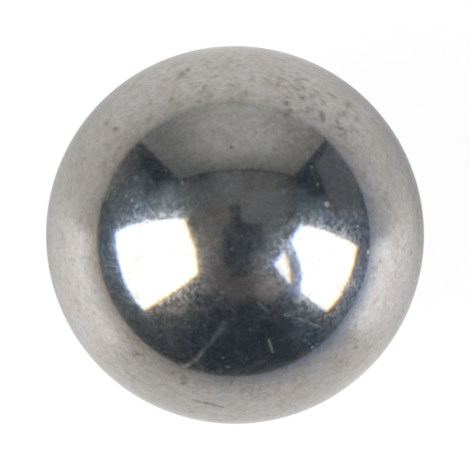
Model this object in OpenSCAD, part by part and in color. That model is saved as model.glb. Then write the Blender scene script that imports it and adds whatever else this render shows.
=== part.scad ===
// Steel ball.
//
// One solid piece: a blank cut from steel wire, headed between two hemispherical
// dies, hardened, then ground and lapped until every diameter is the same. The
// finished ball has no pole, seam, flat or hole, so one true sphere describes it.
//
// Millimetres, +Z up, origin at the centre of the ball.

/* [Ball] */
// Diameter of the ball, the same in every direction
ball_d = 16; // [1:0.5:100]

/* [Hidden] */

// Angle and length of the facets in the preview mesh
$fa = 3;
$fs = 0.2;

// Bare polished steel
steel_colour = [0.68, 0.67, 0.65];

// The ball: it lies on, rolls on or is held by its own spherical face
module ball() {
    color(steel_colour)
        sphere(d = ball_d);
}

ball();
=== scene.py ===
# %% [markdown]
# # A used steel ball
# The object is one solid ball of hardened steel, ground and lapped until it is a mirror.
# A mirror has hardly any look of its own: the eye knows it by what it reflects and by the
# small faults that handling has left in it. So this lesson spends its effort on two things:
# real pits and scratches in the mesh, and a small studio that is worth reflecting.

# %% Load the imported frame
import math
import random

import bmesh
import bpy
from mathutils import Matrix, Vector, noise
from mathutils.kdtree import KDTree


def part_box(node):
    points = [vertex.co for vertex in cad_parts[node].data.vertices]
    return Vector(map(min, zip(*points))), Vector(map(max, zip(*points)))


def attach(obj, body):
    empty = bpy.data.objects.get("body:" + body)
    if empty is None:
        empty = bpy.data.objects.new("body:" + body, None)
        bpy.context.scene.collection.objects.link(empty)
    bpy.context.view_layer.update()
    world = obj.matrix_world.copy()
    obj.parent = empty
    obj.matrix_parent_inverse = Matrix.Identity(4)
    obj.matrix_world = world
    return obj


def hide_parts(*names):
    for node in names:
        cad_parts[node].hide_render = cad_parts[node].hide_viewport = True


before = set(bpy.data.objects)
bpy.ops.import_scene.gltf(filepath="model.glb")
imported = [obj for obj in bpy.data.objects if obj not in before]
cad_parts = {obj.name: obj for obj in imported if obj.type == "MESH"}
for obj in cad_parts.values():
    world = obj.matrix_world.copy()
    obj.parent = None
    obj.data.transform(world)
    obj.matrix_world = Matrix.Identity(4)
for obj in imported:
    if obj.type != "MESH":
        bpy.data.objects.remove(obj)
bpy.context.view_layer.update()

MM = 0.001
BALL_LOW, BALL_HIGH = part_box("ball")
RADIUS = (BALL_HIGH[2] - BALL_LOW[2]) / 2
print("ball radius", round(RADIUS / MM, 3), "mm")

# %% [markdown]
# ## The camera
# The ball is looked at from almost straight above, from half a metre, with a long lens. The
# camera leans a few degrees to the back and to the right, and up in the picture is +Y.
# A Track To constraint could aim it, but the wear and the studio are placed as this camera
# sees them, so its three axes are needed as numbers. They are worked out first, and the
# camera gets them as a matrix.

# %% Camera
VIEW_DISTANCE = 500 * MM
LEAN_BACK = math.radians(3.4)
LEAN_RIGHT = math.radians(1.5)
SENSOR = 36.0
FRAME_IN_RADII = 2.487
CLIP_NEAR, CLIP_FAR = 10 * MM, 20.0

toward_camera = Vector((math.tan(LEAN_RIGHT), math.tan(LEAN_BACK), 1.0)).normalized()
camera_right = Vector((0, 1, 0)).cross(toward_camera).normalized()
camera_up = toward_camera.cross(camera_right)


def link_object(name, data):
    """Put data into the scene as an object."""
    made = bpy.data.objects.new(name, data)
    bpy.context.scene.collection.objects.link(made)
    return made


camera_data = bpy.data.cameras.new("camera")
camera_data.sensor_width = SENSOR
camera_data.lens = SENSOR * VIEW_DISTANCE / (FRAME_IN_RADII * RADIUS)
camera_data.clip_start = CLIP_NEAR
camera_data.clip_end = CLIP_FAR
camera = link_object("camera", camera_data)
camera_turn = Matrix((camera_right, camera_up, toward_camera)).transposed().to_4x4()
camera.matrix_world = Matrix.Translation(toward_camera * VIEW_DISTANCE) @ camera_turn
bpy.context.scene.camera = camera
print("lens", round(camera_data.lens), "mm")

# %% [markdown]
# ## The wear
# A lapped ball leaves the factory without a mark. Rolling among grit and other balls gives it
# round dents, short torn strokes where rust has started, and long fine scratches. A bump map
# could fake them, but a bump only bends the light and leaves nothing in the mesh. So each
# mark is a path on the ball with a width, a depth and an amount of dirt left in it, and is
# pressed into the steel later on.
#
# The marks that catch the eye are listed in millimetres right of and above the
# middle as the camera sees the ball. One function carries such a place onto the sphere.

# %% A place on the ball as the camera sees it
def seen_at(right, up):
    """Direction from the ball's centre to the point that the camera sees there, in mm."""
    eye = toward_camera * VIEW_DISTANCE
    ray = (camera_right * right * MM + camera_up * up * MM - eye).normalized()
    nearest = -ray.dot(eye)
    miss_squared = eye.length_squared - nearest ** 2
    return (eye + ray * (nearest - math.sqrt(RADIUS ** 2 - miss_squared))).normalized()


print("the middle of the picture is the direction", [round(c, 3) for c in seen_at(0, 0)])

# %% [markdown]
# Four kinds of mark are listed. Dents that hold dirt show dark in the pale rim. Clean dents
# throw light of the lamps back from dark places. Rust strokes are short, torn and dark, and
# crowd on one side. Scratches are long and shine.

# %% Marks listed one by one
# Round dents that hold dirt: right, up, width in mm, how dark
DIRTY_DENTS = [
    (-2.24, 6.79, 0.22, 1.0), (-2.00, 6.97, 0.15, 0.8), (-2.62, 5.77, 0.16, 0.9),
    (-2.60, 6.05, 0.15, 0.5), (-4.28, 6.30, 0.14, 0.4), (-5.42, 4.73, 0.16, 0.8),
    (-5.08, 4.47, 0.18, 0.9), (-5.45, 3.82, 0.16, 0.4), (-0.15, 3.72, 0.12, 1.0),
    (0.02, 6.68, 0.12, 0.5), (0.02, 4.40, 0.12, 0.5), (0.45, 6.00, 0.16, 0.6),
    (1.84, 6.42, 0.18, 0.7), (2.70, 6.42, 0.16, 0.7), (2.83, 5.82, 0.20, 0.9),
    (3.27, 5.87, 0.17, 0.7), (3.40, 5.55, 0.14, 0.5), (2.20, 5.55, 0.20, 0.9),
    (2.34, 5.24, 0.20, 0.8), (2.18, 5.05, 0.20, 0.6), (4.78, 5.50, 0.25, 0.7),
    (4.62, 5.15, 0.20, 0.7), (5.18, 4.87, 0.18, 0.8), (1.78, 5.25, 0.18, 0.6),
    (2.30, 4.40, 0.16, 0.6), (2.60, 4.05, 0.14, 0.5), (2.35, 3.75, 0.16, 0.6),
    (3.20, 4.45, 0.16, 0.6), (3.40, 4.20, 0.14, 0.5), (3.20, 3.60, 0.12, 0.4),
    (-0.90, 4.10, 0.12, 0.4), (-1.50, 5.60, 0.14, 0.4), (-1.45, 5.95, 0.14, 0.4),
    (-3.70, 4.87, 0.14, 0.4), (-2.85, 4.70, 0.14, 0.4), (1.65, 3.60, 0.14, 0.5),
    (-1.38, 2.10, 0.20, 0.6), (1.85, 2.02, 0.22, 0.6), (1.50, 4.90, 0.16, 0.5),
    (-2.18, -6.05, 0.20, 0.9), (-2.16, -6.22, 0.20, 0.9), (-0.15, -6.20, 0.15, 0.7),
    (-0.80, -6.15, 0.20, 0.4), (-0.55, -6.35, 0.16, 0.4), (0.30, -6.60, 0.16, 0.4),
    (-4.25, -6.00, 0.14, 0.4), (-2.85, -5.80, 0.18, 0.5), (4.50, -5.35, 0.14, 0.5),
    (1.90, -6.30, 0.14, 0.4), (5.10, -4.75, 0.15, 0.6), (5.50, -4.50, 0.12, 0.4),
]

# Clean dents, which catch the lamps: right, up, width in mm, how rough
BRIGHT_DENTS = [
    (-4.20, 2.40, 0.16, 0.45), (-4.37, 1.87, 0.12, 0.3), (-4.60, 1.67, 0.14, 0.35),
    (-4.35, 1.42, 0.15, 0.4), (-3.55, 2.25, 0.11, 0.3), (-2.25, 2.20, 0.12, 0.25),
    (-4.15, 1.20, 0.16, 0.3), (-3.10, 0.80, 0.15, 0.25), (3.90, 1.30, 0.17, 1.0),
    (3.50, 2.15, 0.13, 0.35), (2.05, 1.80, 0.15, 0.3), (3.25, 2.88, 0.12, 0.3),
    (5.15, 0.80, 0.15, 0.4), (5.20, 0.35, 0.14, 0.35), (5.65, -0.72, 0.12, 1.0),
    (5.40, 0.95, 0.10, 0.25), (-1.90, -3.92, 0.12, 0.3), (-0.30, -5.60, 0.15, 0.4),
    (-0.50, -5.20, 0.11, 0.3), (-1.30, -3.85, 0.10, 0.25), (0.65, -4.00, 0.12, 0.25),
    (3.10, -4.20, 0.13, 0.3), (3.50, -4.65, 0.10, 0.25), (0.30, -0.05, 0.11, 0.25),
    (-0.15, -0.60, 0.12, 0.3), (-0.55, -2.42, 0.12, 0.3), (-0.72, -2.68, 0.12, 0.3),
    (-0.75, -1.08, 0.12, 0.25), (-2.90, 2.75, 0.10, 0.2), (-3.95, 1.80, 0.12, 0.25),
    (2.98, -4.47, 0.13, 0.35), (3.13, -4.59, 0.10, 0.35), (3.28, -4.76, 0.12, 0.4),
    (3.41, -4.91, 0.10, 0.3),
]

# Short torn strokes, dark with old rust: width in mm, how dark, then the points of the path
RUST_STROKES = [
    (0.13, 0.7, (1.86, 6.62), (1.98, 6.63), (2.10, 6.58)),
    (0.11, 0.5, (2.15, 6.55), (2.35, 6.45)),
    (0.12, 0.6, (2.62, 6.55), (2.85, 6.62), (3.05, 6.56)),
    (0.17, 0.9, (2.45, 6.32), (2.54, 6.22), (2.66, 6.15)),
    (0.16, 0.8, (2.80, 6.30), (2.95, 6.19)),
    (0.12, 0.5, (3.28, 6.17), (3.48, 6.07), (3.60, 5.93)),
    (0.17, 0.9, (4.00, 5.97), (4.12, 5.90), (4.22, 5.85)),
    (0.12, 0.6, (3.62, 5.80), (3.70, 5.70), (3.80, 5.60)),
    (0.18, 0.9, (3.66, 5.17), (3.70, 5.00), (3.71, 4.84)),
    (0.14, 0.7, (4.32, 4.90), (4.34, 4.78), (4.42, 4.70)),
    (0.16, 0.9, (4.28, 4.55), (4.45, 4.50), (4.58, 4.46), (4.65, 4.30)),
    (0.13, 0.6, (5.10, 4.42), (5.24, 4.25)),
    (0.11, 0.5, (3.15, 4.90), (3.40, 4.86)),
    (0.12, 0.5, (3.02, 5.22), (3.12, 5.16)),
    (0.13, 0.5, (-3.30, 6.22), (-3.05, 6.20)),
    (0.13, 0.6, (-1.02, 6.65), (-0.80, 6.73)),
    (0.14, 0.5, (-1.32, 6.20), (-1.26, 6.32)),
    (0.12, 0.7, (-4.32, -5.08), (-4.10, -5.04), (-3.88, -5.08)),
    (0.13, 0.5, (-2.80, -5.68), (-2.62, -5.90)),
    (0.14, 0.9, (-1.66, -7.02), (-1.30, -7.09), (-1.00, -7.15), (-0.55, -7.28)),
    (0.12, 0.5, (-0.85, -6.14), (-0.68, -6.17)),
]

# Long scratches: width in mm, how rough, then the points of the path
SCRATCHES = [
    (0.270, 0.26, (-0.45, -3.72), (-0.62, -4.06), (-0.84, -4.30)),
    (0.200, 0.22, (-0.84, -4.30), (-1.05, -4.60), (-1.36, -4.87)),
    (0.230, 0.30, (-1.36, -4.87), (-1.56, -5.20), (-1.85, -5.44), (-2.20, -5.62)),
    (0.140, 0.38, (1.42, -4.42), (1.50, -4.68), (1.60, -4.95)),
    (0.160, 0.25, (2.10, -3.33), (2.50, -3.47), (2.90, -3.60), (3.55, -3.86)),
    (0.150, 0.20, (1.00, -2.85), (1.20, -3.06), (1.42, -3.26)),
    (0.100, 0.18, (-3.38, -4.42), (-3.10, -4.20)),
    (0.080, 0.2, (-5.60, -1.27), (-4.95, -1.33)),
]
print("placed by hand:", len(DIRTY_DENTS), "dirty dents,", len(BRIGHT_DENTS), "clean dents,",
      len(RUST_STROKES), "strokes and", len(SCRATCHES), "pieces of scratch")

# %% [markdown]
# Each list becomes marks of one form, and a dent is a path of one point, or of two close
# ones. Depth is given as a share of the width, because that sets how steep the sides are and
# so how far a mark throws the light off the mirror direction. Two more numbers say what is
# left in the mark: dirt makes it dark, and torn metal makes it rough.

# %% Turn the lists into marks
class Mark:
    """A path of unit directions with half its width and its depth in metres."""

    def __init__(self, path, width, steepness, dirt, torn):
        self.path = path
        self.half = width * MM / 2
        self.depth = width * MM * steepness
        self.dirt = dirt
        self.torn = torn


# How each kind of mark is pressed: wider than its core, how steep, how rough
STAIN_WIDER, STAIN_STEEP, STAIN_TORN = 1.40, 0.009, 0.10
DENT_WIDER, DENT_STEEP, DENT_ROUGH = 2.20, 0.008, 0.85
SCRATCH_WIDER, SCRATCH_STEEP, SCRATCH_ROUGH = 1.60, 0.006, 0.90
RIM_SHARE = 0.95  # marks nearer the rim than this share of the radius are slanted no further


def seen_round(right, up, width):
    """The path of a dent that looks round: near the rim it is longer than it looks."""
    middle = math.hypot(right, up)
    slant = math.sqrt(1 - min(RIM_SHARE, middle * MM / RADIUS) ** 2)
    stretch = width / 2 * (1 - slant) / middle
    return [seen_at(right * (1 - stretch), up * (1 - stretch)),
            seen_at(right * (1 + stretch), up * (1 + stretch))]


marks = []
for right, up, width, dark in DIRTY_DENTS:
    path = seen_round(right, up, width)
    marks.append(Mark(path, width * STAIN_WIDER, STAIN_STEEP, dark, STAIN_TORN))
for right, up, width, rough in BRIGHT_DENTS:
    path = [seen_at(right, up)]
    marks.append(Mark(path, width * DENT_WIDER, DENT_STEEP, 0.0, rough * DENT_ROUGH))
for width, dark, *points in RUST_STROKES:
    path = [seen_at(*point) for point in points]
    marks.append(Mark(path, width * STAIN_WIDER, STAIN_STEEP, dark, STAIN_TORN))
for width, rough, *points in SCRATCHES:
    path = [seen_at(*point) for point in points]
    marks.append(Mark(path, width * SCRATCH_WIDER, SCRATCH_STEEP, 0.0, rough * SCRATCH_ROUGH))
print("marks placed by hand", len(marks))

# %% [markdown]
# The sides that this camera doesn't see well get the same kinds of wear, in the same amounts:
# single dents, patches of rust strokes, and scratches that wander as a grain of grit does
# when it rolls along under the ball. A seeded random source places them, so every run gives
# the same ball. A scattered mark needs a direction, and a scratch a path that bends.

# %% Random places and paths
SEED = 55
HIDDEN_BELOW = 0.25
STEP_LENGTH = 0.35 * MM
source = random.Random(SEED)


def any_direction():
    """A direction with no side of the ball preferred."""
    return Vector([source.gauss(0, 1) for _ in range(3)]).normalized()


def hidden_direction():
    """A direction on the part of the ball that the camera doesn't see well."""
    while True:
        direction = any_direction()
        if direction.dot(toward_camera) < HIDDEN_BELOW:
            return direction


def wander(start, length, turn):
    """A path over the ball from start, bending a little at each step."""
    heading = start.cross(any_direction()).normalized()
    steps = max(2, round(length / STEP_LENGTH))
    path = [start]
    for _ in range(steps):
        heading = Matrix.Rotation(source.gauss(0, turn), 3, path[-1]) @ heading
        path.append((path[-1] + heading * (length / steps / RADIUS)).normalized())
        heading = (heading - path[-1] * heading.dot(path[-1])).normalized()
    return path


print("random source", SEED, "and steps of", round(STEP_LENGTH / MM, 2), "mm")

# %% [markdown]
# Fine dents lie everywhere, so shallow that each only bends the mirror a little. Deeper dents,
# rust and scratches go to the hidden sides. Each kind has its number and its ranges, and the
# random source draws within them.

# %% Marks scattered over every side
# How many, width from and to in mm, how steep, then dirt and torn metal from and to
FINE_DENTS, FINE_WIDTH, FINE_STEEP, FINE_TORN = 300, (0.10, 0.22), 0.004, (0.04, 0.22)
SIDE_DENTS, SIDE_WIDTH, SIDE_STEEP = 60, (0.14, 0.30), 0.020
SIDE_DIRT, SIDE_TORN = (0.0, 0.8), (0.2, 0.6)
# Rust patches: how many, strokes in each, how far they spread, length in mm, bend
SIDE_PATCHES, STROKES_IN_PATCH, PATCH_SPREAD = 4, 16, 0.16
STROKE_LENGTH, STROKE_BEND, STROKE_WIDTH, STROKE_STEEP = (0.05, 0.4), 0.5, (0.15, 0.24), 0.010
STROKE_DIRT, STROKE_TORN = (0.3, 0.75), 0.2
SIDE_SCRATCHES, SCRATCH_LENGTH, SCRATCH_BEND = 12, (0.8, 4.5), 0.12
GROOVE_WIDTH, GROOVE_STEEP, GROOVE_TORN = (0.08, 0.14), 0.020, (0.3, 0.6)

for _ in range(FINE_DENTS):
    marks.append(Mark([any_direction()], source.uniform(*FINE_WIDTH), FINE_STEEP, 0.0,
                      source.uniform(*FINE_TORN)))
for _ in range(SIDE_DENTS):
    marks.append(Mark([hidden_direction()], source.uniform(*SIDE_WIDTH), SIDE_STEEP,
                      source.uniform(*SIDE_DIRT), source.uniform(*SIDE_TORN)))
side_patches = [hidden_direction() for _ in range(SIDE_PATCHES)]
for middle in side_patches:
    for _ in range(STROKES_IN_PATCH):
        start = (middle + any_direction() * PATCH_SPREAD).normalized()
        path = wander(start, source.uniform(*STROKE_LENGTH) * MM, STROKE_BEND)
        marks.append(Mark(path, source.uniform(*STROKE_WIDTH), STROKE_STEEP,
                          source.uniform(*STROKE_DIRT), STROKE_TORN))
for _ in range(SIDE_SCRATCHES):
    start = hidden_direction()
    path = wander(start, source.uniform(*SCRATCH_LENGTH) * MM, SCRATCH_BEND)
    marks.append(Mark(path, source.uniform(*GROOVE_WIDTH), GROOVE_STEEP, 0.0,
                      source.uniform(*GROOVE_TORN)))
print("marks in all", len(marks))

# %% [markdown]
# Wear too fine to model, such as the grey bloom of a million tiny scratches, comes and goes
# in soft patches where hands and grit have been. A painted mask could hold them, but a patch
# that is a middle, a radius in mm and a strength needs no image, and the strength at any
# point of the ball is one short sum.

# %% Soft patches of bloom and rust
# right, up, radius in mm, strength
BLOOM_SEEN = [
    (-4.10, 0.90, 1.1, 0.68), (-2.60, 1.00, 0.8, 0.8), (-5.20, -0.40, 0.9, 0.2),
    (-5.00, 2.20, 1.0, 0.5), (3.30, 0.55, 1.0, 0.70), (5.00, 0.30, 0.8, 0.6),
    (5.10, -2.20, 1.0, 0.5), (2.70, -2.80, 1.0, 0.9), (-2.25, -3.40, 1.2, 0.80),
    (-1.45, -3.20, 1.5, 0.75), (0.00, 0.50, 2.0, 0.1), (0.00, -4.80, 2.0, 0.25),
    (4.60, 0.40, 0.7, 0.8), (1.95, -0.30, 0.7, 1.0), (3.30, -3.80, 0.8, 0.6),
    (1.15, -1.30, 0.8, 0.9), (4.20, -3.55, 0.6, 0.8),
]
RUST_SEEN = [
    (2.60, 6.10, 1.1, 0.9), (3.80, 5.30, 1.2, 1.0), (2.20, 4.80, 1.0, 0.7),
    (4.70, 4.70, 0.9, 0.7), (-1.50, 6.30, 1.6, 0.5), (-4.00, 4.60, 1.5, 0.3),
    (-2.20, -6.20, 1.3, 0.7), (-4.80, -4.60, 1.2, 0.9), (0.50, -6.60, 1.6, 0.5),
    (4.60, -5.20, 1.3, 0.4), (-6.50, -2.00, 1.2, 0.3), (6.60, 1.60, 1.2, 0.3),
    (0.50, 4.20, 2.0, 0.4), (-0.50, -4.80, 1.4, 0.3),
]
# On the other sides: how many, radius in mm from and to, strength from and to
HIDDEN_BLOOMS, BLOOM_SIZE, BLOOM_MUCH = 26, (0.8, 2.0), (0.3, 1)
HIDDEN_RUSTS, RUST_SIZE, RUST_MUCH = 18, (0.9, 1.8), (0.2, 0.7)
STROKE_PATCH_SIZE = 1.6
PATCH_REACH = 2.0

bloom_patches = [(seen_at(right, up), size, much) for right, up, size, much in BLOOM_SEEN]
rust_patches = [(seen_at(right, up), size, much) for right, up, size, much in RUST_SEEN]
for _ in range(HIDDEN_BLOOMS):
    bloom_patches.append((hidden_direction(), source.uniform(*BLOOM_SIZE),
                          source.uniform(*BLOOM_MUCH)))
rust_patches += [(middle, STROKE_PATCH_SIZE, 1.0) for middle in side_patches]
for _ in range(HIDDEN_RUSTS):
    rust_patches.append((hidden_direction(), source.uniform(*RUST_SIZE),
                         source.uniform(*RUST_MUCH)))


def patch_share(direction, patches):
    """How far a point of the ball lies in the patches, from 0 to 1."""
    clear = 1.0
    for middle, size, much in patches:
        away = (direction - middle).length * RADIUS / (size * MM)
        if away < PATCH_REACH:
            clear *= 1 - much * math.exp(-away * away)
    return 1 - clear


print("patches of bloom", len(bloom_patches), "and of rust", len(rust_patches))

# %% [markdown]
# ## The mesh
# A UV sphere would pinch at its poles, and a mirror shows that. A cube blown up into a ball
# has even cells and no poles. The tangent spreads the cells of each side evenly by angle.

# %% Cube sphere
CELLS = 52


def cube_sphere(cells):
    """A sphere of even quads: a cube's faces, split and blown up."""
    made = bmesh.new()
    bmesh.ops.create_cube(made, size=2)
    bmesh.ops.subdivide_edges(made, edges=made.edges[:], cuts=cells - 1, use_grid_fill=True)
    for vertex in made.verts:
        spread = Vector([math.tan(c * math.pi / 4) for c in vertex.co])
        vertex.co = spread.normalized() * RADIUS
    return made


mesh_work = cube_sphere(CELLS)
print("cube sphere", len(mesh_work.faces), "quads")

# %% [markdown]
# The marks are a tenth of a millimetre wide, and cells as small as that over the whole ball
# would be millions. So it is cut finer only where a mark passes. Beads are strung along every
# mark, and an edge may be as long as the nearest bead allows: short right beside the mark,
# and longer with each step away from it.

# %% How fine the mesh has to be
FINEST = 0.020 * MM
SHARE_OF_HALF_WIDTH = 0.40
COARSENING = 0.50
BESIDE = 1.3  # half widths from the path that still count as beside the mark
LEEWAY = 1.5  # an edge is halved only when it is longer than this many wished lengths


def beads_along(mark):
    """Points close enough along a mark's path to stand for it."""
    points = [mark.path[0] * RADIUS]
    for a, b in zip(mark.path, mark.path[1:]):
        steps = max(1, math.ceil((b - a).length * RADIUS / mark.half))
        points += [a.lerp(b, i / steps).normalized() * RADIUS for i in range(1, steps + 1)]
    return points


beads = [(point, mark.half) for mark in marks for point in beads_along(mark)]
bead_tree = KDTree(len(beads))
for index, (point, half) in enumerate(beads):
    bead_tree.insert(point, index)
bead_tree.balance()


def longest_allowed(place):
    """How long an edge may be here, in metres."""
    _, index, distance = bead_tree.find(place)
    half = beads[index][1]
    beyond = max(0.0, distance - BESIDE * half)
    return LEEWAY * (max(FINEST, SHARE_OF_HALF_WIDTH * half) + COARSENING * beyond)


print("beads", len(beads))

# %% [markdown]
# A Multiresolution modifier would cut every face alike. Here only the edges that are too long
# are halved, and each new vertex is pushed out onto the sphere. A few rounds do.

# %% Cut finer near the marks
MOST_CUTS = 4

bmesh.ops.triangulate(mesh_work, faces=mesh_work.faces[:])
for cut in range(MOST_CUTS):
    too_long = []
    for edge in mesh_work.edges:
        if edge.calc_length() > longest_allowed((edge.verts[0].co + edge.verts[1].co) / 2):
            too_long.append(edge)
    split = bmesh.ops.subdivide_edges(mesh_work, edges=too_long, cuts=1)
    for item in split["geom_inner"]:
        if isinstance(item, bmesh.types.BMVert):
            item.co = item.co.normalized() * RADIUS
    bmesh.ops.triangulate(mesh_work, faces=[f for f in mesh_work.faces if len(f.verts) > 3])
    print("cut", cut + 1, "gives", len(mesh_work.faces), "triangles")

ball_mesh = bpy.data.meshes.new("polished_ball")
mesh_work.to_mesh(ball_mesh)
mesh_work.free()

# %% [markdown]
# A mark reaches only the vertices near its path, so a search tree finds those first. For
# each of them the shortest vector from the path is kept: its length says how deep the
# vertex lies, and its direction says which way the side of the mark slopes.

# %% Which vertices a mark reaches
STAIN_REACH = 2.1

outward = [v.co.normalized() for v in ball_mesh.vertices]
vertex_tree = KDTree(len(outward))
for index, direction in enumerate(outward):
    vertex_tree.insert(direction * RADIUS, index)
vertex_tree.balance()


def off_path(point, a, b):
    """Vector from the nearest place on the segment a-b to the point."""
    along = b - a
    t = (point - a).dot(along) / along.length_squared if along.length_squared else 0.0
    return point - a - along * min(1.0, max(0.0, t))


def nearest_off(mark):
    """The shortest vector from a mark's path to each vertex in its reach."""
    corners = [p * RADIUS for p in mark.path]
    found = {}
    for a, b in zip(corners, corners[1:] or corners):
        reach = (b - a).length / 2 + mark.half * STAIN_REACH
        for point, index, _ in vertex_tree.find_range((a + b) / 2, reach):
            off = off_path(point, a, b)
            if index not in found or off.length < found[index].length:
                found[index] = off
    return found


print("the first mark reaches", len(nearest_off(marks[0])), "vertices")

# %% [markdown]
# A mark is a smooth trough: full depth in the middle, flat at the bottom and at the rim. The
# slope of that trough is known exactly, so the shading normals are set from it instead of
# from the triangles. That keeps the mirror clean right up to the edge of each dent. Dirt
# spreads a little past the rim as a stain, and lies unevenly.

# %% Press the marks in
STAIN_WIDTH = 0.95
UNEVENNESS, UNEVEN_BY = 0.25 * MM, 0.6

depths = [0.0] * len(outward)
slopes = [Vector() for _ in outward]
dirt = [0.0] * len(outward)
torn = [0.0] * len(outward)

for mark in marks:
    for index, off in nearest_off(mark).items():
        share = off.length / mark.half
        uneven = 1 + UNEVEN_BY * noise.noise(outward[index] * (RADIUS / UNEVENNESS))
        stain = math.exp(-(share / STAIN_WIDTH) ** 2) * uneven
        dirt[index] = max(dirt[index], mark.dirt * stain)
        if share < 1.0:
            bowl = 1 - share ** 2
            depths[index] += mark.depth * bowl ** 2
            slopes[index] += off * (-4 * mark.depth * bowl / mark.half ** 2)
            torn[index] = max(torn[index], mark.torn * bowl ** 2 * uneven)

normals = []
for vertex, direction, depth, slope in zip(ball_mesh.vertices, outward, depths, slopes):
    vertex.co = direction * (RADIUS - depth)
    normals.append((direction + slope - direction * slope.dot(direction)).normalized())
ball_mesh.shade_smooth()
ball_mesh.normals_split_custom_set_from_vertices(normals)
print("deepest mark", round(max(depths) / MM * 1000, 1), "thousandths of a mm")

# %% [markdown]
# Dirt, torn metal, bloom and rust change the look of the steel from place to place, so the
# material has to know them. An image could hold them, but numbers kept on the vertices need
# none, and they are as fine as the mesh is, which is finest at the marks. The material reads
# each by its name with an Attribute node.

# %% Carry the wear on the vertices
wear_values = {
    "dirt": dirt,
    "torn": torn,
    "bloom": [patch_share(direction, bloom_patches) for direction in outward],
    "rust": [patch_share(direction, rust_patches) for direction in outward],
}
for name, values in wear_values.items():
    layer = ball_mesh.attributes.new(name, "FLOAT", "POINT")
    layer.data.foreach_set("value", values)
    print(name, "mean", round(sum(values) / len(values), 3))

# %% [markdown]
# The ball needs a flat map so that its finish can be baked into images later. Smart UV
# Project would cut it into many islands. The map used here is the cube again: its six sides
# laid out three by two. Each side is unrolled by angle, so a millimetre of steel gets about
# the same share of the image anywhere.

# %% UV map
UV_MARGIN = 0.004
uv_layer = ball_mesh.uv_layers.new(name="OFBake")
for face in ball_mesh.polygons:
    centre = face.center
    axis = max(range(3), key=lambda i: abs(centre[i]))
    side = 2 * axis + (centre[axis] > 0)
    column, row = side % 3, side // 3
    for loop in face.loop_indices:
        point = outward[ball_mesh.loops[loop].vertex_index]
        across = [math.atan(point[i] / abs(point[axis])) / (math.pi / 2) + 0.5
                  for i in range(3) if i != axis]
        u, v = [UV_MARGIN + a * (1 - 2 * UV_MARGIN) for a in across]
        uv_layer.data[loop].uv = ((column + u) / 3, (row + v) / 2)

ball = link_object("polished_ball", ball_mesh)
print("ball", len(ball_mesh.polygons), "triangles")

# %% [markdown]
# ## Node helpers
# Colours are written as the hex values that a screen shows. Cycles works in linear light,
# so one function turns them. A second function adds a shader node, sets its values and joins
# its inputs in one call, which keeps every material short enough to read. A third lays one
# colour softly over another, which is how stains, tones and patches are all made here.

# %% Colour and node helpers
def colour(hex_text):
    """Linear RGBA of an sRGB hex colour."""
    channels = [int(hex_text[i:i + 2], 16) / 255 for i in (1, 3, 5)]
    linear = [c / 12.92 if c <= 0.04045 else ((c + 0.055) / 1.055) ** 2.4 for c in channels]
    return (*linear, 1.0)


def add(tree, kind, inputs=None, **settings):
    """Add a node: settings are its properties, inputs are values or sockets to join."""
    node = tree.nodes.new(kind)
    for name, value in settings.items():
        setattr(node, name, value)
    for name, value in (inputs or {}).items():
        if isinstance(value, bpy.types.NodeSocket):
            tree.links.new(value, node.inputs[name])
        else:
            node.inputs[name].default_value = value
    return node


def new_material(name):
    """An empty node material and its tree."""
    material = bpy.data.materials.new(name)
    material.use_nodes = True
    material.node_tree.nodes.clear()
    return material, material.node_tree


# A Mix node keeps its colour sockets behind its number sockets, so they go by position.
SHARE, UNDER, OVER, MIXED = 0, 6, 7, 2


def laid_over(tree, under, hex_text, value, starts, full, share=1.0):
    """A colour laid over another, growing to its share as value goes from starts to full."""
    amount = add(tree, "ShaderNodeMapRange", {
        "Value": value, "From Min": starts, "From Max": full, "To Max": share},
        interpolation_type="SMOOTHSTEP")
    mix = add(tree, "ShaderNodeMix", {
        SHARE: amount.outputs["Result"], UNDER: under, OVER: colour(hex_text)},
        data_type="RGBA")
    return mix.outputs[MIXED]


print("linear value of #808080", round(colour("#808080")[0], 3))

# %% [markdown]
# ## The steel
# Bearing steel, ground and then lapped between plates until it shines. It is bare metal, so
# the material is fully metallic and its colour is its reflectance, a warm grey. To the eye
# that gives the room itself, a little darker and warmer than it is. Years of handling leave
# films on it that shift the grey: a slow change of hue, cloudy tarnish, and brown finger
# marks. Image maps of smudges would repeat and need a flat map. Each film here is one noise
# pattern with soft edges, laid over the ones before it, so a list of films and one loop make
# them. The sizes are those of real stains, from 0.3 mm specks up to smears of 1.6 mm.

# %% Steel: the films
BARE_STEEL = "#C0BAB5"
FILM_ROUGHNESS = 0.55
# size in mm, seed, detail, value where it starts and where it is full, share, colour
FILMS = [
    (0.55, 4.0, 1.0, 0.35, 0.65, 0.80, "#BCBCBA"),
    (0.32, 0.0, 1.0, 0.38, 0.66, 0.42, "#A29C95"),
    (1.60, 1.0, 2.0, 0.40, 0.70, 0.60, "#B4ABA2"),
]
steel, tree = new_material("lapped_bearing_steel")
place = add(tree, "ShaderNodeTexCoord").outputs["Object"]
surface = colour(BARE_STEEL)
for size, seed, detail, starts, full, share, hex_text in FILMS:
    pattern = add(tree, "ShaderNodeTexNoise", {
        "Vector": place, "W": seed, "Scale": 1 / (size * MM), "Detail": detail,
        "Roughness": FILM_ROUGHNESS}, noise_dimensions="4D")
    surface = laid_over(tree, surface, hex_text, pattern.outputs["Fac"], starts, full, share)
print("films", len(FILMS))

# %% [markdown]
# Rust takes hold as brown flecks of about 0.3 mm. They lie thinly everywhere and crowd where
# the mesh carries much "rust". Scattered little discs of mesh would do, but flecks have no
# height, so they are a noise pattern cut off high, which leaves only its tops. The dirt left
# in the marks is old oil and grinding dust, dark and brown, and follows "dirt".

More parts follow.
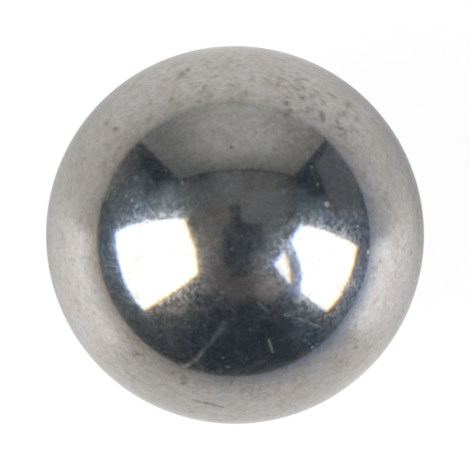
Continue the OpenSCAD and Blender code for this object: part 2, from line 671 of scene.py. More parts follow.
# %% Steel: rust flecks and dirt
RUST, OLD_DIRT = "#7A7168", "#5A5149"
FLECK_SIZE, FLECK_DETAIL = 0.30, 1.5
FLECK_STARTS, FLECK_FULL = 0.50, 0.70
RUSTY, FLECK_EVERYWHERE = 0.42, 0.06
DIRT_COVER = 0.85

pattern = add(tree, "ShaderNodeTexNoise", {
    "Vector": place, "W": 2.0, "Scale": 1 / (FLECK_SIZE * MM), "Detail": FLECK_DETAIL},
    noise_dimensions="4D")
spots = add(tree, "ShaderNodeMapRange", {
    "Value": pattern.outputs["Fac"], "From Min": FLECK_STARTS, "From Max": FLECK_FULL},
    interpolation_type="SMOOTHSTEP")
rust_here = add(tree, "ShaderNodeAttribute", attribute_name="rust")
crowding = add(tree, "ShaderNodeMath", {
    0: rust_here.outputs["Fac"], 1: RUSTY, 2: FLECK_EVERYWHERE}, operation="MULTIPLY_ADD")
flecks = add(tree, "ShaderNodeMath", {
    0: spots.outputs["Result"], 1: crowding.outputs[0]}, operation="MULTIPLY")
flecked = add(tree, "ShaderNodeMix", {
    SHARE: flecks.outputs[0], UNDER: surface, OVER: colour(RUST)}, data_type="RGBA")
dirt_here = add(tree, "ShaderNodeAttribute", attribute_name="dirt")
cover = add(tree, "ShaderNodeMath", {
    0: dirt_here.outputs["Fac"], 1: DIRT_COVER}, operation="MULTIPLY")
stained = add(tree, "ShaderNodeMix", {
    SHARE: cover.outputs[0], UNDER: flecked.outputs[MIXED], OVER: colour(OLD_DIRT)},
    data_type="RGBA")
print("nodes for colour", len(tree.nodes))

# %% [markdown]
# Between the marks lie pin-prick pits, from grit and rust, too many and too small to press
# in. Voronoi cells scatter them: each cell's random colour decides whether it holds a pit and
# how large it is. A pit is rough and holds a little dirt.

# %% Steel: pits
PIT_SPACING, PIT_LARGEST, PIT_SOFT = 0.34, 0.30, 0.18
PIT_FROM, PIT_FULL = 0.48, 0.90
cells = add(tree, "ShaderNodeTexVoronoi", {"Vector": place, "Scale": 1 / (PIT_SPACING * MM)})
pit_reach = add(tree, "ShaderNodeMapRange", {
    "Value": cells.outputs["Color"], "From Min": PIT_FROM, "From Max": PIT_FULL,
    "To Max": PIT_LARGEST})
inside = add(tree, "ShaderNodeMath", {
    0: pit_reach.outputs["Result"], 1: cells.outputs["Distance"]}, operation="SUBTRACT")
pits = add(tree, "ShaderNodeMapRange", {
    "Value": inside.outputs[0], "From Max": PIT_SOFT}, interpolation_type="SMOOTHSTEP")
print("one cell for a pit every", PIT_SPACING, "mm")

# %% [markdown]
# A trace of dried oil and dust lies on the ball in specks, and the specks lie in clouds. The
# two patterns are multiplied, so specks show only where a cloud is. Dust isn't metal. Where
# it lies the surface turns a little less metallic and scatters light of its own, and so does
# metal torn up in a mark. To the eye both are pale where the ball mirrors something dark, and
# dark where it mirrors something pale.

# %% Steel: dust and torn metal
# size in mm, seed, value where it starts and where it is full
DUST_LAYERS = [(0.36, 7.0, 0.45, 0.72), (1.10, 8.0, 0.35, 0.65)]
DUST_DETAIL, DUST_ROUGHNESS = 2.0, 0.6
DUST_COLOUR, TORN_COLOUR = "#A5A197", "#D9D8D4"
# How much less metallic each makes the surface
PIT_FILL, DUST_FILL, TORN_FILL = 0.12, 0.20, 0.75

dust = 1.0
for size, seed, starts, full in DUST_LAYERS:
    pattern = add(tree, "ShaderNodeTexNoise", {
        "Vector": place, "W": seed, "Scale": 1 / (size * MM), "Detail": DUST_DETAIL,
        "Roughness": DUST_ROUGHNESS}, noise_dimensions="4D")
    layer = add(tree, "ShaderNodeMapRange", {
        "Value": pattern.outputs["Fac"], "From Min": starts, "From Max": full},
        interpolation_type="SMOOTHSTEP")
    dust = add(tree, "ShaderNodeMath", {0: layer.outputs["Result"], 1: dust},
               operation="MULTIPLY").outputs[0]
dusty = add(tree, "ShaderNodeMix", {
    SHARE: dust, UNDER: stained.outputs[MIXED], OVER: colour(DUST_COLOUR)}, data_type="RGBA")
torn_here = add(tree, "ShaderNodeAttribute", attribute_name="torn")
paled = add(tree, "ShaderNodeMix", {
    SHARE: torn_here.outputs["Fac"], UNDER: dusty.outputs[MIXED], OVER: colour(TORN_COLOUR)},
    data_type="RGBA")
in_pits = add(tree, "ShaderNodeMath", {0: pits.outputs["Result"], 1: -PIT_FILL, 2: 1.0},
              operation="MULTIPLY_ADD")
in_dust = add(tree, "ShaderNodeMath", {0: dust, 1: -DUST_FILL, 2: in_pits.outputs[0]},
              operation="MULTIPLY_ADD")
metal = add(tree, "ShaderNodeMath", {
    0: torn_here.outputs["Fac"], 1: -TORN_FILL, 2: in_dust.outputs[0]},
    operation="MULTIPLY_ADD", use_clamp=True)
print("dust in specks of", DUST_LAYERS[0][0], "mm and clouds of", DUST_LAYERS[1][0], "mm")

# %% [markdown]
# Gloss is where a used ball differs from a new one. The lapped surface itself still gives a
# sharp reflection. Over it lies a bloom of scratches too fine to see one by one, and they
# throw part of the light wide, as a soft glow around everything bright. One roughness for
# all would only blur the mirror. Two lobes are needed, a sharp one and a wide one, and the
# coat supplies the wide one. The scratches are a few thousandths of a millimetre wide, far
# too fine to show, so the bloom is drawn as grains of 0.2 mm and less, and clouds of 0.6 mm.

# %% Steel: the bloom
GRAIN_SIZE, GRAIN_DETAIL, GRAIN_ROUGHNESS = 0.18, 2.0, 0.75
GRAIN_STARTS, GRAIN_FULL, GRAIN_SHARE = 0.38, 0.66, 0.74
CLOUD_SIZE, CLOUD_DETAIL, CLOUD_ROUGHNESS = 0.60, 2.0, 0.6
CLOUD_STARTS, CLOUD_FULL = 0.35, 0.65
CLOUD_LEAST, CLOUD_MOST = 0.22, 0.53
BLOOM_LEAST, BLOOM_MOST = 0.60, 1.75

grain_pattern = add(tree, "ShaderNodeTexNoise", {
    "Vector": place, "W": 3.0, "Scale": 1 / (GRAIN_SIZE * MM), "Detail": GRAIN_DETAIL,
    "Roughness": GRAIN_ROUGHNESS}, noise_dimensions="4D")
grain = add(tree, "ShaderNodeMapRange", {
    "Value": grain_pattern.outputs["Fac"], "From Min": GRAIN_STARTS, "From Max": GRAIN_FULL},
    interpolation_type="SMOOTHSTEP")
cloud_pattern = add(tree, "ShaderNodeTexNoise", {
    "Vector": place, "W": 5.0, "Scale": 1 / (CLOUD_SIZE * MM), "Detail": CLOUD_DETAIL,
    "Roughness": CLOUD_ROUGHNESS}, noise_dimensions="4D")
clouds = add(tree, "ShaderNodeMapRange", {
    "Value": cloud_pattern.outputs["Fac"], "From Min": CLOUD_STARTS, "From Max": CLOUD_FULL,
    "To Min": CLOUD_LEAST, "To Max": CLOUD_MOST}, interpolation_type="SMOOTHSTEP")
bloom = add(tree, "ShaderNodeMath", {
    0: grain.outputs["Result"], 1: GRAIN_SHARE, 2: clouds.outputs["Result"]},
    operation="MULTIPLY_ADD")
bloom_here = add(tree, "ShaderNodeAttribute", attribute_name="bloom")
strength = add(tree, "ShaderNodeMapRange", {
    "Value": bloom_here.outputs["Fac"], "To Min": BLOOM_LEAST, "To Max": BLOOM_MOST})
haze = add(tree, "ShaderNodeMath", {
    0: bloom.outputs[0], 1: strength.outputs["Result"]}, operation="MULTIPLY")
print("bloom in grains of", GRAIN_SIZE, "mm and clouds of", CLOUD_SIZE, "mm")

# %% [markdown]
# Roughness is low all over, as lapping leaves it, and rises in torn metal and a little in
# pits. Handling has also left a texture two thousandths of a millimetre deep, which unsettles
# the edges of the reflections. It is far too shallow to be worth mesh, so a bump does it.
# Everything meets in one Principled shader, with the default IOR, as metals keep it. The
# coat's own IOR is high, because its glow stands for light that metal throws, not lacquer.

# %% Steel: gloss and shader
LAPPED, TORN_ROUGH, PIT_ROUGH = 0.090, 0.75, 0.10
RIM_TINT = "#F1EFEC"
FINE_WEAR_SIZE, FINE_WEAR_DETAIL = 0.13, 2.0
FINE_WEAR_DEPTH, FINE_WEAR_STRENGTH = 0.002 * MM, 0.15
BLOOM_SPREAD, BLOOM_IOR = 0.25, 3.6

rough = add(tree, "ShaderNodeMath", {
    0: torn_here.outputs["Fac"], 1: TORN_ROUGH, 2: LAPPED}, operation="MULTIPLY_ADD")
rough = add(tree, "ShaderNodeMath", {
    0: pits.outputs["Result"], 1: PIT_ROUGH, 2: rough.outputs[0]}, operation="MULTIPLY_ADD")
fine_wear = add(tree, "ShaderNodeTexNoise", {
    "Vector": place, "W": 6.0, "Scale": 1 / (FINE_WEAR_SIZE * MM), "Detail": FINE_WEAR_DETAIL},
    noise_dimensions="4D")
bump = add(tree, "ShaderNodeBump", {
    "Height": fine_wear.outputs["Fac"], "Strength": FINE_WEAR_STRENGTH,
    "Distance": FINE_WEAR_DEPTH})
shader = add(tree, "ShaderNodeBsdfPrincipled", {
    "Base Color": paled.outputs[MIXED], "Metallic": metal.outputs[0],
    "Roughness": rough.outputs[0], "Specular Tint": colour(RIM_TINT),
    "Coat Weight": haze.outputs[0], "Coat Roughness": BLOOM_SPREAD, "Coat IOR": BLOOM_IOR,
    "Normal": bump.outputs[0]})
add(tree, "ShaderNodeOutputMaterial", {"Surface": shader.outputs[0]})
ball_mesh.materials.append(steel)
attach(ball, "root")
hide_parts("ball")
print("steel has", len(tree.nodes), "nodes")

# %% [markdown]
# ## The studio
# A polished ball is a map of the room around it: its rim shows what it stands on, and its
# middle shows the camera. A picture of a studio wrapped round the world would be quick, but
# it has no distances, and the ball would lie on nothing. So the studio is a real one. The
# ball stands on a large pale satin sheet between two softboxes, with a grey board behind it,
# in a dim room.
#
# The sheet is coated card, which gives the eye an even pale grey with a soft gloss. Its colour
# is painted darker with distance, as painted shade for the lamps reaching the far part less. The
# fade runs by tenfolds of distance, because the ball squeezes the sheet like that: each doubling
# of the distance takes about the same step inward from the rim. Toward the board less of this
# painted shade is laid on, so the card stays paler.

# %% Pale sheet: painted shade with distance
CARD_PALE = "#E8E6E3"
FADE_FROM, FADE_TO, FADE_SHARE, BACK_FADE = 15 * MM, 210 * MM, 0.75, 0.21

sheet_material, tree = new_material("satin_card")
place = add(tree, "ShaderNodeNewGeometry").outputs["Position"]
foot_distance = add(tree, "ShaderNodeVectorMath", {0: place, 1: (0, 0, -RADIUS)},
                    operation="DISTANCE").outputs["Value"]
tenfolds = add(tree, "ShaderNodeMath", {0: foot_distance, 1: 10.0}, operation="LOGARITHM")
farness = add(tree, "ShaderNodeMapRange", {
    "Value": tenfolds.outputs[0], "From Min": math.log10(FADE_FROM),
    "From Max": math.log10(FADE_TO)})
way = add(tree, "ShaderNodeVectorMath", {0: place}, operation="NORMALIZE").outputs[0]
backness = add(tree, "ShaderNodeVectorMath", {0: way, 1: (0, 1, 0)}, operation="DOT_PRODUCT")
lit_back = add(tree, "ShaderNodeMapRange", {
    "Value": backness.outputs["Value"], "To Min": FADE_SHARE, "To Max": BACK_FADE})
fade = add(tree, "ShaderNodeMath", {
    0: farness.outputs["Result"], 1: lit_back.outputs["Result"]}, operation="MULTIPLY").outputs[0]
print("sheet fades from", round(FADE_FROM / MM), "to", round(FADE_TO / MM), "mm")

# %% [markdown]
# A long lens spreads the colours a little where pale meets dark. The far part of the sheet,
# which meets the dark room in the mirror, so looks warm on one side of the ball and blue on
# the other. The spread could be made in the camera only by changing the finished picture.
# Here the far part of the card is toned that way instead, more strongly near its edge.

# %% Pale sheet: warm side and cool side
COOL_WAY = (math.cos(math.radians(335)), math.sin(math.radians(335)), 0)
COOL_FROM, COOL_FULL = -0.3, 1.0
# The far and edge tones are darker than the card: painted shade, tinted warm and cool for the
# lens's spread of colour.
FAR_WARM, FAR_COOL = "#B4A48C", "#447DB6"
EDGE_WARM, EDGE_COOL = "#BFB08E", "#3A6EB2"
EDGE_FROM, EDGE_TO, EDGE_SHARE = 90 * MM, 300 * MM, 0.70
SATIN_ROUGHNESS, SATIN_GLOSS = 0.28, 0.75

coolness = add(tree, "ShaderNodeVectorMath", {0: way, 1: COOL_WAY}, operation="DOT_PRODUCT")
cool_side = add(tree, "ShaderNodeMapRange", {
    "Value": coolness.outputs["Value"], "From Min": COOL_FROM, "From Max": COOL_FULL})
cool = add(tree, "ShaderNodeMath", {
    0: farness.outputs["Result"], 1: cool_side.outputs["Result"]}, operation="MULTIPLY")
far_tone = add(tree, "ShaderNodeMix", {
    SHARE: cool.outputs[0], UNDER: colour(FAR_WARM), OVER: colour(FAR_COOL)},
    data_type="RGBA")
pale = add(tree, "ShaderNodeMix", {
    SHARE: fade, UNDER: colour(CARD_PALE), OVER: far_tone.outputs[MIXED]}, data_type="RGBA")
edge_tone = add(tree, "ShaderNodeMix", {
    SHARE: cool_side.outputs["Result"], UNDER: colour(EDGE_WARM), OVER: colour(EDGE_COOL)},
    data_type="RGBA")
near_edge = add(tree, "ShaderNodeMapRange", {
    "Value": foot_distance, "From Min": EDGE_FROM, "From Max": EDGE_TO, "To Max": EDGE_SHARE})
edge_here = add(tree, "ShaderNodeMath", {
    0: near_edge.outputs["Result"], 1: lit_back.outputs["Result"]}, operation="MULTIPLY")
edged = add(tree, "ShaderNodeMix", {
    SHARE: edge_here.outputs[0], UNDER: pale.outputs[MIXED], OVER: edge_tone.outputs[MIXED]},
    data_type="RGBA")
satin = add(tree, "ShaderNodeBsdfPrincipled", {
    "Base Color": edged.outputs[MIXED], "Roughness": SATIN_ROUGHNESS,
    "Specular IOR Level": SATIN_GLOSS})
print("sheet material has", len(tree.nodes), "nodes so far")

# %% [markdown]
# The card ends, and the ball shows a dark table past it. A second, larger mesh could be the
# table, but two flat things so close in height flicker into each other. One mesh carries
# both, and a soft step across each side of the card changes one into the other.

# %% Pale sheet: where it ends
SHEET_RIGHT, SHEET_LEFT, SHEET_FRONT, SHEET_BACK = 400 * MM, 1500 * MM, 285 * MM, 720 * MM
EDGE_SOFT = 40 * MM
TABLE_DARK = "#1B242D"
# axis, side of zero it ends on, place of the edge
SHEET_EDGES = [("X", 1, SHEET_RIGHT), ("X", -1, SHEET_LEFT), ("Y", 1, SHEET_BACK),
               ("Y", -1, SHEET_FRONT)]

axes = add(tree, "ShaderNodeSeparateXYZ", {0: place})
past_edge = 0.0
for axis, side, edge in SHEET_EDGES:
    outward_place = add(tree, "ShaderNodeMath", {0: axes.outputs[axis], 1: side},
                        operation="MULTIPLY")
    beyond = add(tree, "ShaderNodeMapRange", {
        "Value": outward_place.outputs[0], "From Min": edge - EDGE_SOFT,
        "From Max": edge + EDGE_SOFT}, interpolation_type="SMOOTHSTEP")
    past_edge = add(tree, "ShaderNodeMath", {0: beyond.outputs["Result"], 1: past_edge},
                    operation="MAXIMUM").outputs[0]
table = add(tree, "ShaderNodeBsdfDiffuse", {"Color": colour(TABLE_DARK)})
lit = add(tree, "ShaderNodeMixShader", {0: past_edge, 1: satin.outputs[0], 2: table.outputs[0]})
print("sheet is", round((SHEET_LEFT + SHEET_RIGHT) / MM), "by",
      round((SHEET_FRONT + SHEET_BACK) / MM), "mm")

# %% [markdown]
# The picture wants a white ground, but a sheet lit until it turns white would burn out the
# ball too. The Light Path node tells which kind of ray is asking. To the camera the sheet is
# mostly plain white near the ball, where it keeps the ball's shadow, and altogether white
# further out. Metal and glass see a share of that white as well. For every other ray it is
# the lit card alone, so no lamp is turned up.

# %% Pale sheet: what each kind of ray sees
WHITE = (1, 1, 1, 1)
WHITE_STRENGTH = 1.1
WHITE_FROM, WHITE_TO = 16 * MM, 60 * MM
# ray, share of plain white near the ball, share far from it
WHITE_SHARES = [("Is Camera Ray", 0.83, 1.0), ("Is Transmission Ray", 0.83, 1.0),
                ("Is Glossy Ray", 0.13, 0.07)]

rays = add(tree, "ShaderNodeLightPath")
white_share = 0.0
for ray, near, far in WHITE_SHARES:
    by_distance = add(tree, "ShaderNodeMapRange", {
        "Value": foot_distance, "From Min": WHITE_FROM, "From Max": WHITE_TO,
        "To Min": near, "To Max": far}, interpolation_type="SMOOTHSTEP")
    share = add(tree, "ShaderNodeMath", {
        0: rays.outputs[ray], 1: by_distance.outputs["Result"], 2: white_share},
        operation="MULTIPLY_ADD")
    white_share = share.outputs[0]
white = add(tree, "ShaderNodeEmission", {"Color": WHITE, "Strength": WHITE_STRENGTH})
shown = add(tree, "ShaderNodeMixShader", {0: white_share, 1: lit.outputs[0], 2: white.outputs[0]})
add(tree, "ShaderNodeOutputMaterial", {"Surface": shown.outputs[0]})
print("kinds of ray that see white", len(WHITE_SHARES))

# %% [markdown]
# All of that lies on one flat square, so wide that the camera never sees its rim. It touches
# the ball at its lowest point. Every card of the studio is one flat face as well, so one
# function makes them all from their corners.

# %% Pale sheet: its mesh
FLOOR_SIZE = 12.0


def flat(name, points, material):
    """An object of one flat face through the points, in order."""
    mesh = bpy.data.meshes.new(name)
    mesh.from_pydata(points, [], [tuple(range(len(points)))])
    mesh.materials.append(material)
    return link_object(name, mesh)


half = FLOOR_SIZE / 2
corners = [(-half, -half), (half, -half), (half, half), (-half, half)]
floor = flat("sheet", [(x, y, -RADIUS) for x, y in corners], sheet_material)
print("floor", FLOOR_SIZE, "m wide, at", round(-RADIUS / MM, 2), "mm")

# %% [markdown]
# ## Softboxes
# A softbox is a lamp behind a cloth. The lamp sets how strongly things are lit, and the cloth
# is what a mirror shows. They are made as two things here: an area light that lights the
# sheet, and a glowing cloth that lights the ball and is seen in it. Light linking keeps each
# to its own receiver. A cloth glows less than a bare lamp, so its edge stays soft in the
# steel instead of burning out.

# %% Lamps
LAMP_RADIANCE = 4.55
LAMP_COLOUR = (0.98, 0.99, 1.02)
# name, centre, aim, roll in degrees, width and height in mm, power as a share of the usual
LAMPS = [
    ("lamp_left", (-384, -125, 365), (-84, -20, 225), 6.7, 403, 531, 1.00),
    ("lamp_right", (434, -112, 316), (183, 103, 140), -1.5, 361, 471, 1.12),
]


def facing(centre, aim, roll):
    """Matrix of a flat thing at centre whose -Z looks at aim, turned by roll degrees."""
    back = (centre - aim).normalized()
    side = Vector((0, 0, 1)).cross(back).normalized()
    up = back.cross(side)
    turn = Matrix((side, up, back)).transposed().to_4x4()
    return Matrix.Translation(centre) @ turn @ Matrix.Rotation(math.radians(roll), 4, "Z")


def light_only(source_object, receiver):
    """Let a light or a glowing thing light one object alone."""
    receivers = bpy.data.collections.new(source_object.name + "_lights")
    receivers.objects.link(receiver)
    source_object.light_linking.receiver_collection = receivers


for name, centre, aim, roll, width, height, power in LAMPS:
    light = bpy.data.lights.new(name, "AREA")
    light.shape = "RECTANGLE"
    light.size = width * MM
    light.size_y = height * MM
    light.color = LAMP_COLOUR
    light.energy = power * LAMP_RADIANCE * math.pi * light.size * light.size_y
    box = link_object(name, light)
    box.matrix_world = facing(Vector(centre) * MM, Vector(aim) * MM, roll)
    box.visible_camera = False
    light_only(box, floor)
    print(name, round(light.energy, 2), "W")

# %% [markdown]
# The rest of the room is cards that glow with painted light, each at its own plain level, cut to
# the outlines that the ball shows. Shaping them by eye in the room would be slow, for the ball
# bends every straight edge. So each corner is written as the place on the ball where it
# appears, and the mirror law carries it out into the room to the distance where the real thing
# stands.

# %% Cards cut to what the ball shows
def shown_at(right, up, away):
    """The point of the room, away mm from the ball, that the camera sees at (right, up)."""
    normal = seen_at(right, up)
    eye_ray = (normal * RADIUS - toward_camera * VIEW_DISTANCE).normalized()
    out = eye_ray - 2 * eye_ray.dot(normal) * normal
    start = normal * RADIUS
    along = -start.dot(out) + math.sqrt(start.dot(out) ** 2 - RADIUS ** 2 + (away * MM) ** 2)
    return start + out * along


def glow_with_painted_light(material, tree, tone):
    """End a stage finish with painted light: it glows with its own tone, whatever lights it."""
    glow = add(tree, "ShaderNodeEmission", {"Color": tone})
    add(tree, "ShaderNodeOutputMaterial", {"Surface": glow.outputs[0]})
    material.cycles.emission_sampling = "NONE"


def hide_from_camera(made):
    """Stage things that only the ball's mirror sees."""
    made.visible_camera = False
    made.visible_shadow = False


def card(name, away, corners, material):
    """A flat card whose outline appears on the ball at the corners, in order."""
    made = flat(name, [shown_at(right, up, away) for right, up in corners], material)
    hide_from_camera(made)
    return made


middle_shows = shown_at(0, 0, VIEW_DISTANCE / MM)
print("the middle of the ball shows the place", [round(c / MM) for c in middle_shows], "mm")

# %% [markdown]
# The cloth of a softbox is white diffusing nylon, which glows evenly from edge to edge. A
# lens that spreads the colours gives such a bright thing a warm edge on one side and a blue
# one on the other. A glare filter over the picture could fake it. Here each cloth is three
# layers of pure red, green and blue that let the others through and land a hair apart, so
# only their edges show colour.

# %% Softbox cloths
CLOTH_AWAY = 720
CLOTH_GLOW = 2.30
LEFT_CLOTH = [(-5.08, 0.09), (-4.60, 0.36), (-3.61, 0.61), (-2.60, 0.69), (-2.12, 0.68),
              (-1.94, 0.10), (-1.67, -0.54), (-1.59, -1.21), (-1.56, -1.63), (-2.13, -2.09),
              (-3.31, -2.86), (-3.84, -3.20), (-4.21, -2.81), (-4.68, -1.98), (-4.98, -0.85)]
RIGHT_CLOTH = [(2.75, 0.45), (3.78, 0.20), (4.79, -0.25), (5.17, -0.48), (5.10, -0.89),
               (4.80, -1.88), (4.29, -2.80), (3.88, -3.24), (3.17, -2.68), (2.24, -2.01),
               (1.64, -1.26), (2.03, -0.71), (2.40, -0.15)]
# name and colour, then how far to the right and up on the ball it lands, in mm
COLOUR_SPREAD = [("red", "#FF0000", 0.028, -0.009), ("green", "#00FF00", 0.0, 0.0),
                 ("blue", "#0000FF", -0.050, 0.015)]


def spread_card(name, away, corners, tone):
    """A card as a lens shows it: one layer for each colour, landing a little apart."""
    layers = []
    for word, hex_text, right, up in COLOUR_SPREAD:
        part = colour(hex_text)
        material, tree = new_material(name + "_" + word)
        glow = add(tree, "ShaderNodeEmission", {"Color": [t * p for t, p in zip(tone, part)]})
        rest = add(tree, "ShaderNodeBsdfTransparent", {"Color": [1 - p for p in part[:3]] + [1]})
        both = add(tree, "ShaderNodeAddShader", {0: glow.outputs[0], 1: rest.outputs[0]})
        add(tree, "ShaderNodeOutputMaterial", {"Surface": both.outputs[0]})
        moved = [(x + right, y + up) for x, y in corners]
        layers.append(card(name + "_" + word, away, moved, material))
    return layers


for name, corners in [("cloth_left", LEFT_CLOTH), ("cloth_right", RIGHT_CLOTH)]:
    for layer in spread_card(name, CLOTH_AWAY, corners, [CLOTH_GLOW] * 4):
        light_only(layer, ball)
print("cloths", len(LEFT_CLOTH), "and", len(RIGHT_CLOTH), "corners")

# %% [markdown]
# Behind the ball hangs a board of grey card, which fills the upper part of the mirror. To the
# eye it is a calm grey, darker toward its top and toward its right and left ends, with a thin
# shadow along its top edge. It could be lit by lamps, but each lamp would reach the ball and
# the sheet as well. So it glows with painted light instead: a base tone, and soft bands of
# painted light and shade laid over it in order, the last a painted shadow along its top edge.

# %% The grey board behind
BOARD_CENTRE = Vector((57, 607, 330)) * MM
BOARD_AIM = Vector((109, 9, 330)) * MM
BOARD_BASE = "#BCBFBE"
# Sideways and up on the board, in mm: it doesn't hang quite square
BOARD_CORNERS = [(-563, -335), (614, -335), (566, 325), (-580, 335)]
# direction on the board, where a painted band starts and is full, its share, its colour
BOARD_SHADE_BANDS = [
    ("Y", 0.42, 1.08, 1.0, "#787A78"),
    ("X", 0.55, 0.91, 1.00, "#73797B"),
    ("X", 0.45, 0.04, 0.95, "#7D7F7E"),
    ("Y", 0.60, 0.42, 0.14, "#BCBFBE"),
    ("Y", 0.55, 0.95, 0.30, "#5C6060"),
    ("Y", 0.948, 0.962, 1.0, "#16191C"),
]

board_material, tree = new_material("grey_board")
sides = add(tree, "ShaderNodeTexCoord").outputs["Generated"]
axes = add(tree, "ShaderNodeSeparateXYZ", {0: sides})
tone = colour(BOARD_BASE)
for axis, starts, full, share, hex_text in BOARD_SHADE_BANDS:
    tone = laid_over(tree, tone, hex_text, axes.outputs[axis], starts, full, share)
glow_with_painted_light(board_material, tree, tone)

board = flat("grey_board", [(x * MM, y * MM, 0) for x, y in BOARD_CORNERS], board_material)
board.matrix_world = facing(BOARD_CENTRE, BOARD_AIM, 0)
hide_from_camera(board)
print("board tones", len(BOARD_SHADE_BANDS))

# %% [markdown]
# Three smaller things are seen in the ball: the dark front of the camera, with its finder on
# top, in the middle of the mirror, a lamp's arm that crosses the right softbox, and a low
# grey panel at the right. Each could be modelled, but the mirror shows no more of it than a
# flat outline. So each is a card cut to that outline that glows with painted light, at the
# tone its lit thing shows, and the bright-edged arm is spread in colour as the cloths are.

# %% Camera, lamp arm and low panel
CAMERA_AWAY, ARM_AWAY, PANEL_AWAY = 450, 300, 900
# These tones are painted light: each card glows as its thing looks when lit.
CAMERA_BLACK, ARM_PAINTED_LIGHT, PANEL_GREY = "#3F4851", "#7085A8", "#626870"
CAMERA_OUTLINE = [(-0.20, 1.30), (0.24, 1.30), (0.27, 0.54), (1.18, 0.44), (1.10, -0.05),
                  (0.88, -0.60), (0.62, -1.10), (0.50, -1.80), (-0.20, -1.85), (-0.45, -1.10),
                  (-0.53, -0.50), (-0.50, 0.40), (-0.20, 0.54)]
ARM_OUTLINE = [(2.10, -0.42), (2.08, -0.74), (2.20, -1.00), (2.32, -1.50), (2.35, -2.00),
               (2.26, -2.30), (2.40, -2.64), (2.72, -2.64), (2.83, -1.85), (2.74, -1.20),
               (2.53, -0.65), (2.33, -0.25)]
PANEL_OUTLINE = [(4.15, 3.93), (3.36, 2.98), (3.46, 2.78), (3.70, 2.28), (3.85, 1.80),
                 (3.95, 0.90), (4.90, 0.60), (5.42, 1.00), (5.18, 2.00), (4.66, 3.05)]
PLAIN_CARDS = [
    ("camera_front", CAMERA_AWAY, CAMERA_OUTLINE, "camera_black", CAMERA_BLACK),
    ("low_panel", PANEL_AWAY, PANEL_OUTLINE, "low_panel_grey", PANEL_GREY),
]

for name, away, outline, finish, hex_text in PLAIN_CARDS:
    material, tree = new_material(finish)
    glow_with_painted_light(material, tree, colour(hex_text))
    card(name, away, outline, material)
for layer in spread_card("lamp_arm", ARM_AWAY, ARM_OUTLINE, colour(ARM_PAINTED_LIGHT)):
    layer.visible_shadow = True
print("corners: camera", len(CAMERA_OUTLINE), "arm", len(ARM_OUTLINE), "panel",
      len(PANEL_OUTLINE))

# %% [markdown]
# The dim room itself is walls and ceiling out of focus, which give the eye only soft, dark
# greys. A sky picture could hold them. Here they are a wide dome that only the mirror sees,
# glowing with painted light and shade in soft round patches: a warm grey ceiling, a darker
# floor side, a little blue light low down at the sides, and a lighter glow, partly blue,
# close beside the cloths. Like the cards, each patch is written where it shows on the ball.

# %% The tones of the room
ROOM_DARK = "#323C46"
ROOM_AWAY = 1000
ROOM_PATCHES = [
    # right, up, inner and outer size in mm on the ball, colour
    (0.55, 1.60, 0.7, 2.3, "#75797C"),
    (-0.90, 0.60, 0.2, 1.4, "#6E706F"),
    (-1.15, -1.40, 0.3, 1.3, "#6E6F72"),
    (0.15, -1.90, 0.3, 1.3, "#625F60"),
    (1.45, -2.25, 0.1, 0.8, "#8E8C8B"),
    (1.75, -0.20, 0.1, 0.7, "#747C86"),
    (-4.60, 1.10, 0.2, 1.6, "#626A71"),
    (-2.75, 1.22, 0.3, 1.2, "#7A8890"),
    (-1.70, 1.60, 0.2, 1.0, "#666C70"),
    (2.80, 1.45, 0.1, 0.7, "#52616D"),
    (-5.40, -1.20, 0.2, 1.3, "#43586D"),
    (3.60, 0.70, 0.2, 1.0, "#60707C"),
    (5.10, 0.30, 0.2, 1.3, "#52647A"),
    (5.20, -2.20, 0.2, 1.6, "#506C8C"),
    (3.60, -3.60, 0.2, 1.6, "#3D4E5B"),
    (-3.40, -3.80, 0.2, 1.6, "#434B53"),
    (-4.85, 2.75, 0.2, 1.1, "#5D6263"),
    (-4.75, -2.90, 0.1, 0.7, "#5A6269"),
    (-5.50, -1.35, 0.1, 0.8, "#586979"),
    (-5.55, 0.60, 0.1, 0.8, "#4E5C68"),
    (-1.05, -0.22, 0.1, 0.6, "#7A7974"),
    (-4.10, 0.85, 0.1, 0.8, "#677D96"),
    (3.90, 0.62, 0.1, 0.7, "#62788E"),
    (1.30, -1.05, 0.1, 0.7, "#7C858F"),
    (-2.45, -2.90, 0.1, 0.7, "#77746F"),
    (1.00, 2.50, 0.3, 0.9, "#686B6D"),
]

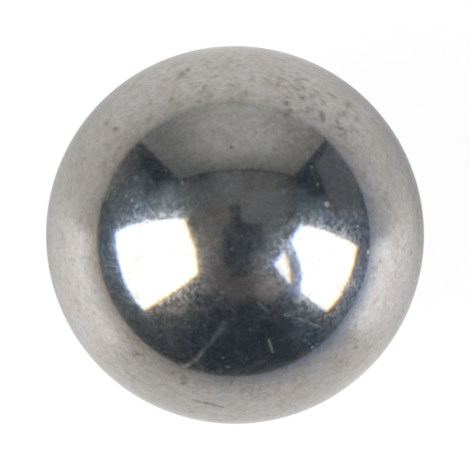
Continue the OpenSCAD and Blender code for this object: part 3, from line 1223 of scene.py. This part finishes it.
room_material, tree = new_material("dim_room")
place = add(tree, "ShaderNodeNewGeometry").outputs["Position"]
way = add(tree, "ShaderNodeVectorMath", {0: place}, operation="NORMALIZE").outputs[0]
tone = colour(ROOM_DARK)
for right, up, inner, outer, hex_text in ROOM_PATCHES:
    middle = shown_at(right, up, ROOM_AWAY).normalized()
    nearness = add(tree, "ShaderNodeVectorMath", {0: way, 1: middle}, operation="DOT_PRODUCT")
    near_cos = math.cos(2 * math.asin(inner * MM / RADIUS))
    far_cos = math.cos(2 * math.asin(outer * MM / RADIUS))
    tone = laid_over(tree, tone, hex_text, nearness.outputs["Value"], far_cos, near_cos)
glow_with_painted_light(room_material, tree, tone)
print("room patches", len(ROOM_PATCHES))

# %% [markdown]
# The dome is the cube sphere again, three metres in radius, so that it stands outside all
# the rest.

# %% The dome of the room
DOME_RADIUS = 3.0
DOME_CELLS = 16

dome_work = cube_sphere(DOME_CELLS)
dome_mesh = bpy.data.meshes.new("room_dome")
dome_work.to_mesh(dome_mesh)
dome_work.free()
dome_mesh.transform(Matrix.Scale(DOME_RADIUS / RADIUS, 4))
dome_mesh.materials.append(room_material)
dome = link_object("room_dome", dome_mesh)
hide_from_camera(dome)
print("dome radius", DOME_RADIUS, "m")

# %% [markdown]
# The world shines white into the camera, and into metal and glass where nothing stands in
# front of it. For every other ray it is as dim as the room, so it adds little light. The
# view transform is Standard, so that a colour renders about as it is written.

# %% World and view
ROOM_DIM = "#43494F"

world = bpy.data.worlds.new("room")
bpy.context.scene.world = world
world.use_nodes = True
tree = world.node_tree
tree.nodes.clear()
rays = add(tree, "ShaderNodeLightPath")
sees_white = 0.0
for ray, _, _ in WHITE_SHARES:
    sees_white = add(tree, "ShaderNodeMath", {0: rays.outputs[ray], 1: sees_white},
                     operation="MAXIMUM").outputs[0]
dim = add(tree, "ShaderNodeBackground", {"Color": colour(ROOM_DIM)})
bright = add(tree, "ShaderNodeBackground", {"Color": WHITE})
shown = add(tree, "ShaderNodeMixShader", {0: sees_white, 1: dim.outputs[0], 2: bright.outputs[0]})
add(tree, "ShaderNodeOutputWorld", {"Surface": shown.outputs[0]})

bpy.context.scene.view_settings.view_transform = "Standard"
print("world nodes", len(tree.nodes))
